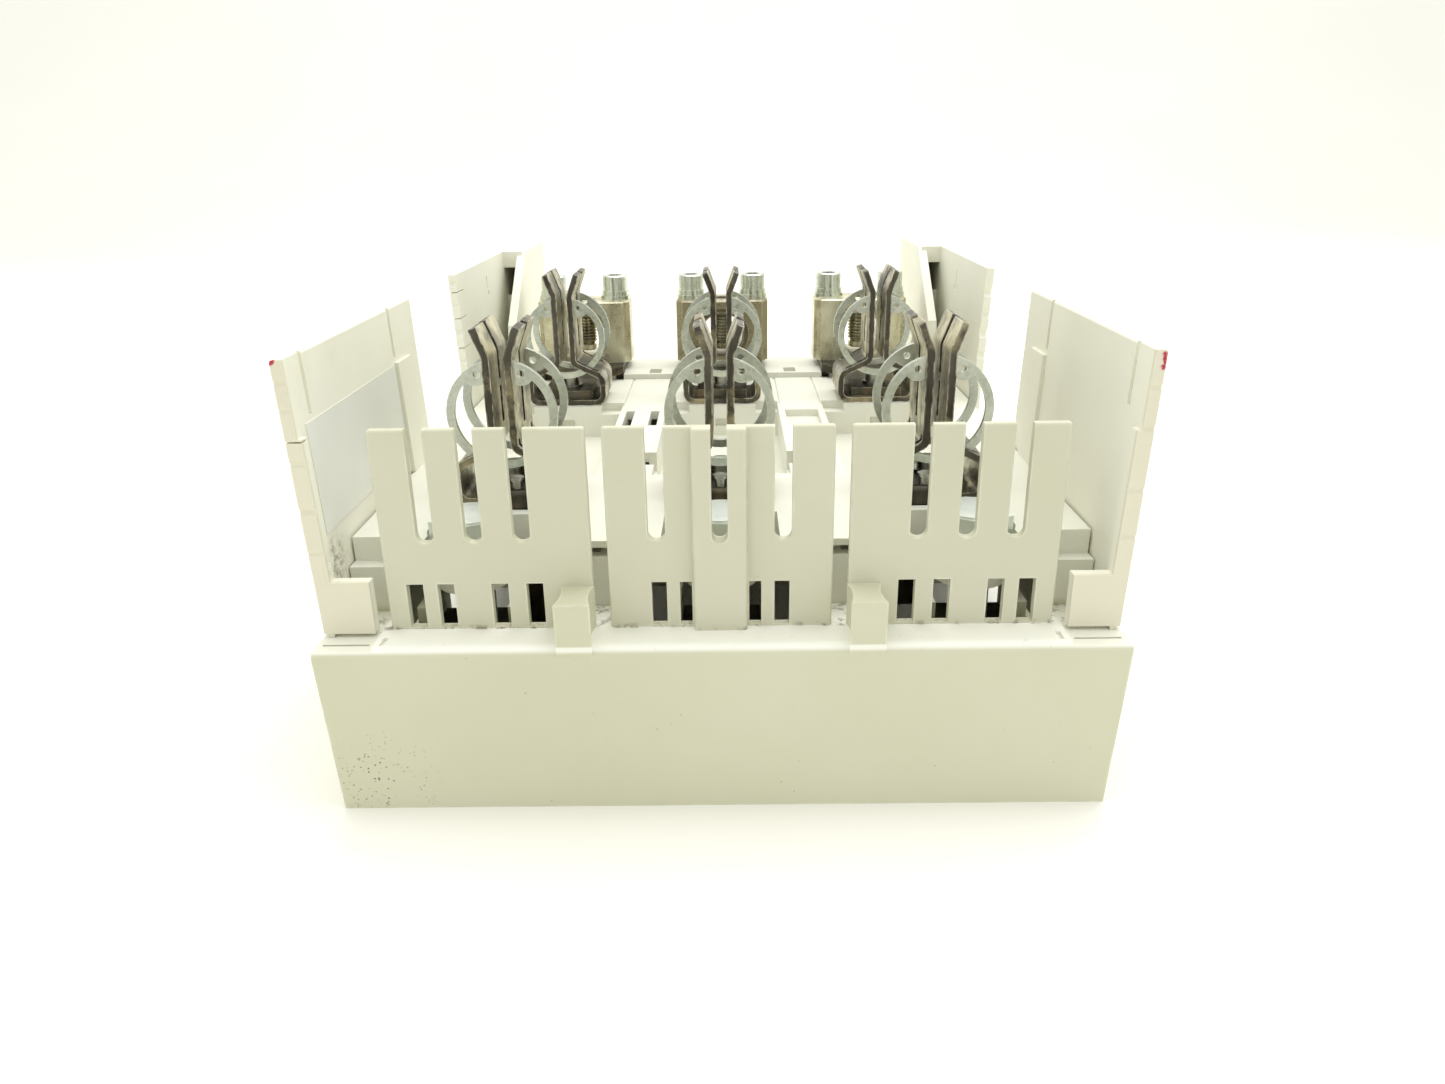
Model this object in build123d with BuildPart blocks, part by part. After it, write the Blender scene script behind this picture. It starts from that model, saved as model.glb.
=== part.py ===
from build123d import *
import math
import os

os.makedirs("parts", exist_ok=True)

# Three-pole bus-mounting fuse base, millimetres. +X right, +Y from the line
# end towards the cable end, +Z up. The rims of the skirts stand on Z = 0.

# overall
POLE = 56.0                       # pole pitch
CLIP_SPAN = 111.1                 # clip centre to clip centre, blade holes of the fuse
Y_FRONT = -146.0                  # front face of the line end skirt
Y_REAR = 146.0                    # rear face of the cable end skirt
HALF_W = 92.6                     # half width of the lower shell
Z_LEDGE = 42.0                    # top of the end ledges and of the lower shell
Z_DECK = 59.0                     # main deck, clips stand on it
SHELL = 3.0                       # moulded wall

# lower shell and deck
Y_BASE0 = -123.0
Y_BASE1 = 130.0
HALF_DECK = 89.8
BUS_Y = (-89.0, -29.0, 31.0)      # busbar centres, 60 mm system
BUS_SLOT = 33.0                   # channel width for 30 mm bars
BUS_TOP = 18.0                    # top face of the busbar when fitted

# fuse wells
WELL_HALF = 20.0
WELL_Y0 = -70.0
WELL_Y1 = 13.0
WELL_Z = 48.0
RAIL_Y0 = 60.0
RAIL_Y1 = 92.0
RAIL_Z = 61.0                     # also the top face of the clip strip

# finger combs
Y_COMB = -135.0                   # front face of the combs
COMB_T = 2.2
COMB_Z = 90.0
SLOT_W = 4.0
SLOT_Z = 65.4                     # centre of the round slot bottoms
WINDOW_Z = 53.3

# side walls
WALL_T = 2.6
WALL_Z = 106.0
WALL_LEAN = 2.3
Y_FWALL0 = -137.3
Y_FWALL1 = -42.0
Y_RWALL0 = 14.0
Y_RWALL1 = 142.0

# fuse clips
Y_LINE = -84.5
Y_LOAD = Y_LINE + CLIP_SPAN
STRIP = 2.0
CLIP_LEN = 22.0
JAW_GAP = 3.6
RING_Z = 83.0
RING_R = 14.3
RING_BAND = 2.1
RING_T = 1.5
RING_OFF = 9.0

# lugs
Y_LUG = 79.0
LUG_W = 37.0
LUG_D = 20.0
LUG_Z0 = 64.0
LUG_Z1 = 88.4
BORE_Z = 74.8
BORE_R = 8.25
SCREW_X = 12.5                    # clamp screws each side of the bore
SET_D = 8.0                       # set screw, M8
SET_PITCH = 1.25
FIT = 0.05                        # radial running clearance
PAD_R = 3.6                       # pressure pad under the set screw
PAD_STEM_R = 1.8

# bus clamps
BOLT_X = (-62.5, 0.0, 62.5)
BOLT_Y = -113.4
BOLT_D = 10.0                     # M10
BOLT_AF = 17.0
BOLT_HEAD = 6.4
BOLT_TURN = (30.0, 0.0, 30.0)     # how far each head happens to be turned
BOLT_SEAT = 55.2                  # top of the bolt bosses, below the deck
WASHER_T = 1.6
WASHER_R = 9.0
HEAD_Z0 = BOLT_SEAT + WASHER_T
HEAD_R = BOLT_AF / 2 / math.cos(math.pi / 6)    # across the corners, half
NOTCH_HALF = 14.4                 # deck notch round each bolt, about the pole
NOTCH_OUT = 15.6                  # its outer side on the two outer poles
NOTCH_Y = -103.0

POLES = ((-POLE, "left"), (0.0, "middle"), (POLE, "right"))
CUT = Mode.SUBTRACT


def slab(x0, x1, y0, y1, z0, z1, mode=Mode.ADD):
    with Locations(((x0 + x1) / 2, (y0 + y1) / 2, (z0 + z1) / 2)):
        Box(abs(x1 - x0), abs(y1 - y0), abs(z1 - z0), mode=mode)


def post(x, y, z0, z1, r, mode=Mode.ADD):
    with Locations((x, y, (z0 + z1) / 2)):
        Cylinder(r, z1 - z0, mode=mode)


def front_plane(y):
    return Plane(origin=(0, y, 0), x_dir=(1, 0, 0), z_dir=(0, -1, 0))


def side_plane(x):
    return Plane(origin=(x, 0, 0), x_dir=(0, 1, 0), z_dir=(1, 0, 0))


def save(part, node):
    part.label = node
    export_step(part, "parts/" + node + ".step")


# where each line strap leaves the clip, relative to the pole centre
STRAP_X = {"left": (0.0, 11.3), "middle": (-5.6, 5.6), "right": (-11.3, 0.0)}
STRAP_T = 3.0
STRAP_Y = -98.9                   # front face of the vertical leg
STRAP_PIN_Y = -96.0               # small headed pin in front of the clip
STRAP_PIN_X = {"left": 2.8, "middle": 0.0, "right": -2.8}
PIN_R = 1.4
PIN_RIM_R = 1.9
CORNER_Y = -118.5                 # the deck steps down in front of this at both corners
CORNER_Z = 52.9
FOOT_HALF = 21.0                  # half width of the openings behind the combs


def strap_levels(i):
    # horizontal run of each strap inside the base
    return (None, 38.0, 30.0)[i]


def make_base_frame():
    with BuildPart() as base_frame:
        slab(-HALF_W, HALF_W, Y_BASE0, Y_BASE1, 0, Z_LEDGE)
        slab(-HALF_DECK, HALF_DECK, Y_BASE0, Y_BASE1, Z_LEDGE - 1, Z_DECK)
        slab(-89, 89, Y_BASE0 + SHELL, Y_BASE1 - SHELL, -1, 39, CUT)
        slab(-86.8, 86.8, Y_BASE0 + SHELL, Y_BASE1 - SHELL, 38, 56, CUT)
        # raised cross rail that carries the cable end conductors
        slab(-HALF_DECK, HALF_DECK, RAIL_Y0, RAIL_Y1, Z_DECK - 1, RAIL_Z)
        # pole partitions and cross ribs under the deck
        for x in (-28.0, 28.0):
            slab(x - 1.2, x + 1.2, Y_BASE0 + 1, Y_BASE1 - 1, 20, 57)
        for y in (1.0, 61.0, 100.0):
            slab(-88, 88, y - 1.2, y + 1.2, 20, 57)
        slab(-88, 88, -60.2, -57.8, 20, 57)
        # lower step at the front corners of the deck
        for s in (-1, 1):
            slab(s * 77, s * HALF_DECK, Y_BASE0, CORNER_Y + 2, CORNER_Z - 2.5, CORNER_Z)
            slab(s * 77, s * HALF_DECK, CORNER_Y, CORNER_Y + 2.4, CORNER_Z - 2.5, Z_DECK)
            slab(s * 77, s * 79.4, Y_BASE0, CORNER_Y + 2, CORNER_Z - 2.5, Z_DECK)
            slab(s * 79.4, s * 95, Y_BASE0 - 1, CORNER_Y, CORNER_Z, 70, CUT)
        # wells under the fuse bodies
        for x, side in POLES:
            slab(x - 22.4, x + 22.4, WELL_Y0 - 2.4, WELL_Y1 + 2.4, 45, 58)
        for x, side in POLES:
            slab(x - WELL_HALF, x + WELL_HALF, WELL_Y0, WELL_Y1, WELL_Z, 70, CUT)
            # stepped shoulders at the front of the rear clip seat
            slab(x - WELL_HALF, x - 12, WELL_Y1 - 1, WELL_Y1 + 6, 56.2, 70, CUT)
            slab(x + 12, x + WELL_HALF, WELL_Y1 - 1, WELL_Y1 + 6, 56.2, 70, CUT)
            slab(x - 2.5, x + 2.5, WELL_Y1 - 1, WELL_Y1 + 1.6, 51.4, 54.2, CUT)
            # clip fixing holes
            post(x, Y_LINE, 40, 70, 2.6, CUT)
            post(x, Y_LOAD, 40, 70, 2.6, CUT)
        # bosses and holes for the lug screws
        for x, side in POLES:
            for s in (-1, 1):
                post(x + s * SCREW_X, Y_LUG, 46, 57, 6.0)
        for x, side in POLES:
            for s in (-1, 1):
                post(x + s * SCREW_X, Y_LUG, 47.5, 70, 3.1, CUT)
                # pockets for the turned down tabs of the load conductors
                slab(x + s * 14.5 - 1.7, x + s * 14.5 + 1.7, 63.8, 67.2, 54.4, 70, CUT)
                slab(x + s * 14.5 - 1.7, x + s * 14.5 + 1.7, RAIL_Y0 - 1, 67.2, RAIL_Z - 2.6, 70, CUT)
        # small square holes and front pockets in the lanes between the poles
        for x in (-27.2, 27.2):
            # a shallow recess, deep only at the front of its outer half
            slab(x - 2.4, x + 2.4, 62.0, 70.0, 57.6, 70, CUT)
            outer = math.copysign(2.4, x)
            slab(x, x + outer, 62.0, 65.0, 50, 70, CUT)
        # two narrow pockets in the left lane, one wide pocket in the right lane
        for s in (-1, 1):
            slab(-28 + s * 4.35 - 1.5, -28 + s * 4.35 + 1.5, -14, 6, 46, 70, CUT)
        slab(28 - 5.85, 28 + 5.85, -14, 6, 56.6, 70, CUT)
        # pockets beside the middle well, with a bar left in front of each
        for s in (-1, 1):
            slab(s * 20.0, s * 25.4, -60.0, -47.0, 53.0, 70, CUT)
        # shallow parting grooves along the poles
        for x, side in POLES:
            for s in (-1, 1):
                slab(x + s * 20.6 - 0.4, x + s * 20.6 + 0.4, 14, 59.9, 58.4, 60, CUT)
        # openings for the straps below the line clips
        for i, (x, side) in enumerate(POLES):
            x0, x1 = STRAP_X[side]
            slab(x + x0 - 0.6, x + x1 + 0.6, STRAP_Y - 0.6, STRAP_Y + STRAP_T + 0.4, 40, 70, CUT)
            lev = strap_levels(i)
            if lev is not None:
                for y in (-59.0, 1.0):
                    slab(x + x0 - 1, x + x1 + 1, y - 3, y + 3, lev - 1.2, lev + STRAP_T + 1.2, CUT)
        # openings in the front wall behind the combs, and slots in the lanes between
        for x, side in POLES:
            slab(x - FOOT_HALF, x + FOOT_HALF, Y_BASE0 - 1, Y_BASE0 + SHELL + 1, 20, 55.8, CUT)
        for s in (-1, 1):
            slab(s * 25.0, s * 34.0, Y_BASE0 - 1, -118.0, 55.0, 57.3, CUT)
        # notch round each bolt, walled below the deck
        for x, side in POLES:
            left = x - (NOTCH_OUT if side == "left" else NOTCH_HALF)
            right = x + (NOTCH_OUT if side == "right" else NOTCH_HALF)
            slab(left - 1.4, right + 1.4, -119.2, NOTCH_Y + 1.4, 48, 57)
            slab(left, right, Y_BASE0 - 1, NOTCH_Y, 47, 70, CUT)
        # bored bosses in the notches and guides for the hooks
        for x in BOLT_X:
            post(x, BOLT_Y, 45, BOLT_SEAT, WASHER_R - 0.1)
            slab(x - 5, x + 5, BOLT_Y, -99.8, 45, 56.5)
            slab(x - 11, x + 11, BOLT_Y - 1.5, BOLT_Y + 1.5, 45, 49.8)
            post(x, BOLT_Y, BOLT_SEAT, 60, WASHER_R + 0.2, CUT)
            for s in (-1, 1):
                slab(x + s * 10.05, x + s * 12.2, -120.5, -106, 19, 42)
                slab(x + s * 10.05, x + s * 12.2, -123.0, -119.8, 12, 42)
        for x in BOLT_X:
            post(x, BOLT_Y, 40, 70, BOLT_D / 2 + FIT, CUT)
            # room for the corners of the head as it turns
            post(x, BOLT_Y, HEAD_Z0 - 0.3, 70, HEAD_R + 0.3, CUT)
        # busbar channels through the side skirts
        for y in BUS_Y:
            slab(-100, 100, y - BUS_SLOT / 2, y + BUS_SLOT / 2, -1, 19, CUT)
        # pockets in the rim for the feet of the side walls
        for s in (-1, 1):
            for y in (-110.0, -60.0, 30.0, 110.0):
                slab(s * 90.0, s * 91.5, y - 6.1, y + 6.1, 35.9, 43, CUT)
        outer = base_frame.edges().filter_by(Axis.Z).filter_by_position(Axis.Y, Y_BASE1 - 0.1, Y_BASE1 + 0.1)
        outer = outer.filter_by(lambda e: e.length > 30)
        fillet(outer, 1.5)
    save(base_frame.part, "base_frame")


def make_front_cover():
    with BuildPart() as front_end_cover:
        # tapered skirt, slightly narrower at the rim
        with BuildSketch(front_plane(Y_FRONT)):
            with BuildLine():
                Polyline((-90.4, 0), (90.4, 0), (92.8, Z_LEDGE), (-92.8, Z_LEDGE), close=True)
            make_face()
        extrude(amount=-(Y_BASE0 - Y_FRONT))
        lip = front_end_cover.edges().filter_by(Axis.X).sort_by(Axis.Z)[-2:].sort_by(Axis.Y)[0]
        fillet(lip, 2.6)
        slab(-88, 88, Y_FRONT + SHELL, Y_BASE0 + 1, -1, 39, CUT)
        # lowered ends of the ledge
        for s in (-1, 1):
            slab(s * 79.2, s * 95, Y_FRONT - 1, Y_BASE0 + 1, Z_LEDGE - 0.9, 44, CUT)
            slab(s * 80.6, s * 91.4, -141.9, -141.1, 40, 44, CUT)
            slab(s * 76.6, s * 77.8, -143.6, -139.6, 41.2, 44, CUT)
        # stub posts in front of the gaps between the combs
        for s in (-1, 1):
            with BuildSketch(Plane.XY.offset(40)):
                with BuildLine():
                    l1 = Line((s * 29.2, Y_COMB), (s * 37.0, Y_COMB))
                    l2 = ThreePointArc(l1 @ 1, (s * 36.3, -140.6), (s * 37.2, Y_FRONT))
                    l3 = Line(l2 @ 1, (s * 29.0, Y_FRONT))
                    l4 = ThreePointArc(l3 @ 1, (s * 29.9, -140.6), (s * 29.2, Y_COMB))
                make_face()
            extrude(amount=12.5)
        # slots for the feet of the combs
        for x, side in POLES:
            for dx in (-12.0, 12.0):
                slab(x + dx - 4.05, x + dx + 4.05, Y_COMB - FIT, Y_COMB + COMB_T + FIT, 37, 44, CUT)
            slab(x - FOOT_HALF, x + FOOT_HALF, Y_COMB + COMB_T + FIT, Y_BASE0 + 1, 38, 44, CUT)
        # two stiffening ribs behind the skirt
        for x in (-30.0, 30.0):
            slab(x - 1.2, x + 1.2, Y_FRONT + 1, Y_BASE0, 10, 40)
        # recess for the snap of the rim in each side
        for s in (-1, 1):
            slab(s * 89.95, s * 91.5, -137.35, -133.95, 37, 44, CUT)
    save(front_end_cover.part, "front_end_cover")


def make_rear_cover():
    with BuildPart() as rear_end_cover:
        with BuildSketch(front_plane(Y_BASE1)):
            with BuildLine():
                Polyline((-91.0, 0), (91.0, 0), (92.6, Z_LEDGE), (-92.6, Z_LEDGE), close=True)
            make_face()
        extrude(amount=-(Y_REAR - Y_BASE1))
        lip = rear_end_cover.edges().filter_by(Axis.X).sort_by(Axis.Z)[-2:].sort_by(Axis.Y)[-1]
        fillet(lip, 2.6)
        slab(-88, 88, Y_BASE1 - 1, Y_REAR - SHELL, -1, 39, CUT)
        for x in (-60.0, -20.0, 20.0, 60.0):
            slab(x - 1.2, x + 1.2, Y_BASE1, Y_REAR - 1, 10, 40)
        # finger scallops along the ledge
        for x, side in POLES:
            slab(x - 15, x + 15, 134, 141, 40.8, 44, CUT)
    save(rear_end_cover.part, "rear_end_cover")


def comb_outline(x0, x1, slots, windows):
    # front view of one comb with round bottomed slots and square windows
    with BuildSketch(front_plane(Y_COMB)) as sk:
        with BuildLine():
            Polyline((x0, Z_LEDGE), (x1, Z_LEDGE), (x1, COMB_Z), (x0, COMB_Z), close=True)
        make_face()
        top = sk.vertices().group_by(Axis.Y)[-1]
        fillet(top, 0.7)
        for x, w in slots:
            with Locations((x, (SLOT_Z + COMB_Z + 4) / 2)):
                Rectangle(w, COMB_Z + 4 - SLOT_Z, mode=CUT)
            with Locations((x, SLOT_Z)):
                Circle(w / 2, mode=CUT)
        for x, w in windows:
            with Locations((x, (Z_LEDGE + 0.4 + WINDOW_Z) / 2)):
                Rectangle(w, WINDOW_Z - Z_LEDGE - 0.4, mode=CUT)
    extrude(sk.sketch, amount=-COMB_T)


def comb_feet(x):
    for dx in (-12.0, 12.0):
        slab(x + dx - 4, x + dx + 4, Y_COMB, Y_COMB + COMB_T, 37.6, Z_LEDGE + 0.4)


def soften_comb_top(part):
    top = part.edges().filter_by(Axis.X).group_by(Axis.Z)[-1]
    fillet(top, 0.6)


def make_side_comb(s, node):
    # outer poles: three slots about the pole centre, four windows
    c = s * POLE
    with BuildPart() as comb:
        xo = s * 77.3
        xi = s * 29.4
        slots = [(c + d, SLOT_W) for d in (-11.0, 0.0, 11.0)]
        windows = [(c - s * 13.1, 3.9), (c - s * 5.0, 3.9), (c + s * 7.5, 3.9), (c + s * 14.7, 3.9)]
        comb_outline(min(xo, xi), max(xo, xi), slots, windows)
        soften_comb_top(comb)
        comb_feet(c)
    save(comb.part, node)


def make_middle_comb():
    with BuildPart() as comb:
        slots = [(-14.4, SLOT_W), (0.0, 3.6), (14.4, SLOT_W)]
        windows = [(-14.2, 3.5), (-8.0, 2.8), (8.0, 2.8), (14.2, 3.5)]
        comb_outline(-25.8, 25.8, slots, windows)
        # raised rib in the middle
        slab(-6.1, 6.1, Y_COMB - 2.4, Y_COMB + 1, Z_LEDGE, COMB_Z)
        rib = comb.edges().filter_by(Axis.Z).filter_by_position(Axis.Y, Y_COMB - 2.5, Y_COMB - 2.3)
        fillet(rib, 0.8)
        slab(-1.8, 1.8, Y_COMB - 4, Y_COMB + 4, SLOT_Z, COMB_Z + 4, CUT)
        with Locations((0, Y_COMB, SLOT_Z)):
            Cylinder(1.8, 12, rotation=(90, 0, 0), mode=CUT)
        soften_comb_top(comb)
        comb_feet(0.0)
    save(comb.part, "finger_comb_middle")


def lean_x(z):
    # outer face of the leaning side walls
    return 92.4 + WALL_LEAN * (z - Z_LEDGE) / (WALL_Z - Z_LEDGE)


def wall_plate(s, y0, y1, z0=Z_LEDGE):
    pts = [(s * (lean_x(z0) - WALL_T), z0), (s * lean_x(z0), z0),
           (s * lean_x(WALL_Z), WALL_Z), (s * (lean_x(WALL_Z) - WALL_T), WALL_Z)]
    with BuildSketch(front_plane(y0)) as outline:
        with BuildLine():
            Polyline(*pts, close=True)
        make_face()
    extrude(outline.sketch, amount=-(y1 - y0))


def wall_pad(s, y0, y1, z0, z1, proud):
    # raised strip on the inner face of a wall, leaning with it
    pts = [(s * (lean_x(z) - WALL_T - d), z)
           for z, d in ((z0, proud), (z0, -0.5), (z1, -0.5), (z1, proud))]
    with BuildSketch(front_plane(y0)) as outline:
        with BuildLine():
            Polyline(*pts, close=True)
        make_face()
    extrude(outline.sketch, amount=-(y1 - y0))


def crack(s, y0, y1, z):
    # fine break in the front edge of a wall
    slab(s * 88, s * 97, y0, y1, z - 0.18, z + 0.18, CUT)


def nick(s, y, z, r):
    # broken notch in the front edge of a wall
    with Locations((s * 93.5, y, z)):
        Cylinder(r, 14, rotation=(0, 90, 0), mode=CUT)


def make_front_wall(s, node):
    with BuildPart() as wall:
        wall_plate(s, Y_FWALL0, Y_FWALL1)
        xin = lean_x(WALL_Z) - WALL_T
        # foot flange across the front corner
        slab(s * 80.4, s * 91.6, Y_FWALL0, Y_FWALL0 + 3.2, Z_LEDGE, 54.8)
        # raised strip towards the rear, with a step at its top
        wall_pad(s, -64.5, -52.0, Z_DECK, 91.0, 1.1)
        # guide grooves for a cover, open at the top
        for y, zb in ((-127.2, 91.8), (-63.6, 92.4)):
            slab(s * (xin - 6), s * (xin + 0.7), y - 0.9, y + 0.9, zb, 120, CUT)
        # front rib
        wall_pad(s, Y_FWALL0, Y_FWALL0 + 3.4, 54.0, 88.5, 1.0)
        # feet in the rim
        for y in (-110.0, -60.0):
            slab(s * 90.1, s * 91.4, y - 6, y + 6, 36, 44)
        slab(s * 90.1, s * 91.4, Y_FWALL0 + 0.1, Y_FWALL0 + 3.1, 37.6, 44)
        top = wall.edges().filter_by(Axis.Y).filter_by_position(Axis.Z, WALL_Z - 0.1, WALL_Z + 0.1)
        fillet(top.filter_by(lambda e: e.length > 20), 0.7)
        marks = ((98.0, 0.8), (89.0, 1.1), (75.0, 0.9), (64.0, 0.7))
        if s < 0:
            marks = ((101.0, 0.9), (95.0, 0.6), (83.0, 0.9), (72.0, 1.1), (62.0, 0.7))
            crack(s, Y_FWALL0 - 1, Y_FWALL0 + 4.2, 88.0)
        for z, r in marks:
            nick(s, Y_FWALL0 - r * 0.62, z, r)
    save(wall.part, node)


def make_rear_wall(s, node):
    with BuildPart() as wall:
        wall_plate(s, Y_RWALL0, Y_RWALL1)
        # inner wall with a sloping front edge
        with BuildSketch(side_plane(min(s * 82.7, s * 86.0))):
            with BuildLine():
                Polyline((64.0, RAIL_Z), (Y_RWALL1, RAIL_Z), (Y_RWALL1, WALL_Z),
                         (98.0, WALL_Z), (66.0, 80.0), (64.0, 74.0), close=True)
            make_face()
        extrude(amount=3.3)
        # closed end, cap and front bridge of the channel
        slab(s * 84, s * 92.4, Y_RWALL1 - 2.6, Y_RWALL1, RAIL_Z, WALL_Z)
        slab(s * 84, s * 93.5, 96.0, Y_RWALL1, WALL_Z - 2.6, WALL_Z)
        slab(s * 84, s * 93.0, 96.0, 98.4, WALL_Z - 6.4, WALL_Z)
        slab(s * 84, s * 92.0, 97.0, 99.4, 62.0, 88.0)
        # slot in the cap and slot in the wall
        slab(s * 87.3, s * 93.4, 137.2, 138.4, 100, 120, CUT)
        slab(s * 88, s * 100, 60.6, 62.0, 95.4, 100.2, CUT)
        # small round hole near the top of the outer wall
        with Locations((s * 92.5, 62.0, 93.5)):
            Cylinder(1.3, 12, rotation=(0, 90, 0), mode=CUT)
        for y in (30.0, 110.0):
            slab(s * 90.1, s * 91.4, y - 6, y + 6, 36, 44)
        top = wall.edges().filter_by(Axis.Y).filter_by_position(Axis.Z, WALL_Z - 0.1, WALL_Z + 0.1)
        far = top.filter_by(lambda e: e.length > 25 and abs(e.center().X) > 94)
        fillet(far, 0.7)
        marks = ((98.0, 2.0), (90.0, 1.5), (84.0, 2.4), (76.0, 1.6), (69.0, 2.0))
        if s < 0:
            marks = ((103.0, 1.3), (95.5, 1.0), (86.0, 1.3), (76.0, 1.1), (68.0, 0.8))
            for z in (100.0, 91.0, 80.7):
                crack(s, Y_RWALL0 - 1, Y_RWALL0 + 9.0, z)
        for z, r in marks:
            nick(s, Y_RWALL0 - r * 0.5, z, r)
    save(wall.part, node)


def make_label():
    # blank rating plate on the inside of the left front wall
    z0 = 64.5
    z1 = 90.6
    with BuildPart() as rating_label:
        with BuildSketch(front_plane(-131.4)):
            with BuildLine():
                Polyline((-(lean_x(z0) - WALL_T), z0), (-(lean_x(z1) - WALL_T), z1),
                         (-(lean_x(z1) - WALL_T - 0.25), z1), (-(lean_x(z0) - WALL_T - 0.25), z0),
                         close=True)
            make_face()
        extrude(amount=-(131.4 - 65.2))
    save(rating_label.part, "rating_label")


def make_clip(x, y, node):
    jaw = JAW_GAP / 2 + STRIP / 2
    right = [(0, 60.0), (13.0, 60.0), (13.0, 69.2), (jaw, 74.2), (jaw, 98.0), (5.5, 105.2)]
    bends = [3.0, 3.4, 2.2, 3.0]
    with BuildPart() as clip:
        with BuildSketch(front_plane(y)):
            for s in (-1, 1):
                with BuildLine():
                    FilletPolyline(*[(x + s * px, pz) for px, pz in right], radius=bends)
                trace(line_width=STRIP)
        extrude(amount=CLIP_LEN / 2, both=True)
        # two fingers per jaw with rounded corners, joined by a small bridge
        f0 = CLIP_LEN / 2
        with BuildSketch(side_plane(x)) as side:
            with Locations((y, 68.0)):
                Rectangle(CLIP_LEN, 22.0)
            for c in (-6.1, 6.1):
                with Locations((y + c, 92.0)):
                    Rectangle(9.8, 30.0)
                fillet(side.vertices().group_by(Axis.Y)[-1].filter_by_position(
                    Axis.X, y + c - 5.0, y + c + 5.0), 3.6)
            with Locations((y, 89.6)):
                Rectangle(3.0, 1.6)
        extrude(amount=20, both=True, mode=Mode.INTERSECT)
        # slots for the spring rings
        for c in (-RING_OFF, RING_OFF):
            slab(x - 11.4, x + 11.4, y + c - 1.0, y + c + 1.0, 67.6, 76.5, CUT)
        post(x, y, 50, 62, 2.1, CUT)
    save(clip.part, node)


def make_ring_pair(x, y, node):
    # two open spring rings whose eyelet ends press the jaws together
    jaw = JAW_GAP / 2 + STRIP
    with BuildPart() as rings:
        for c in (-RING_OFF, RING_OFF):
            with BuildSketch(front_plane(y + c)):
                with Locations((x, RING_Z)):
                    Circle(RING_R)
                    Circle(RING_R - RING_BAND, mode=CUT)
                for s in (-1, 1):
                    with Locations((x + s * 5.8, RING_Z + 10.2)):
                        Ellipse(3.0, 2.6)
                    with Locations((x + s * 5.6, RING_Z + 10.6)):
                        Circle(0.95, mode=CUT)
                with Locations((x, RING_Z)):
                    Circle(RING_R, mode=Mode.INTERSECT)
                with Locations((x, RING_Z + 12)):
                    Rectangle(2 * jaw, 12, mode=CUT)
            extrude(amount=RING_T / 2, both=True)
    save(rings.part, node)


def make_clip_rivets(y, node, thick, front_pin=False):
    # headed pins through strap, clip and deck, one per pole
    with BuildPart() as rivets:
        for x, side in POLES:
            top = RAIL_Z + thick
            post(x, y, 50.0, top + 0.1, 2.0)
            post(x, y, top, top + 0.8, 4.2)
            post(x, y, top + 0.7, top + 4.0, 2.9)
            post(x, y, 53.0, 56.0, 4.0)
            if front_pin:
                px = x + STRAP_PIN_X[side]
                post(px, STRAP_PIN_Y, top, top + 2.3, PIN_R)
                post(px, STRAP_PIN_Y, top + 2.2, top + 2.9, PIN_RIM_R)
    save(rivets.part, node)


def make_line_strap(i, x, side):
    x0, x1 = STRAP_X[side]
    y0 = STRAP_Y
    with BuildPart() as strap:
        # flange inside the clip, on top of the clip strip
        slab(x - 8.5, x + 8.5, -96.2, -75.0, RAIL_Z, RAIL_Z + STRAP_T)
        slab(x + x0, x + x1, y0, -95.8, RAIL_Z, RAIL_Z + STRAP_T)
        lev = strap_levels(i)
        if lev is None:
            slab(x + x0, x + x1, y0, y0 + STRAP_T, BUS_TOP, 61.5)
            slab(x + x0, x + x1, y0, -78.0, BUS_TOP, BUS_TOP + STRAP_T)
        else:
            yb = BUS_Y[i]
            slab(x + x0, x + x1, y0, y0 + STRAP_T, lev, 61.5)
            slab(x + x0, x + x1, y0, yb - 6.0, lev, lev + STRAP_T)
            slab(x + x0, x + x1, yb - 9.0, yb - 6.0, BUS_TOP, lev + 1)
            slab(x + x0, x + x1, yb - 9.0, yb + 9.0, BUS_TOP, BUS_TOP + STRAP_T)
        post(x, Y_LINE, 55, 70, 2.1, CUT)
        bend = strap.edges().filter_by(Axis.X).filter_by_position(Axis.Y, y0 - 0.01, y0 + 0.01)
        bend = bend.filter_by(lambda e: e.length > 10)
        fillet(bend, 1.6)
    save(strap.part, "line_strap_" + side)


def make_load_strap(x, side):
    with BuildPart() as strap:
        t = STRAP_T
        z0 = RAIL_Z
        slab(x - 9, x + 9, 17.6, 60.0, z0, z0 + t)
        with BuildSketch(Plane.XY.offset(z0)):
            with BuildLine():
                Polyline((x - 9, 52), (x + 9, 52), (x + 16, 62), (x + 16, 90), (x - 16, 90),
                         (x - 16, 62), close=True)
            make_face()
        extrude(amount=t)
        for s in (-1, 1):
            slab(x + s * 13.2, x + s * 15.8, 64.2, 66.8, 55.2, z0 + 1)
            post(x + s * SCREW_X, Y_LUG, 50, 70, 3.1, CUT)
        post(x, Y_LOAD, 50, 70, 2.1, CUT)
    save(strap.part, "load_strap_" + side)


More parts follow.
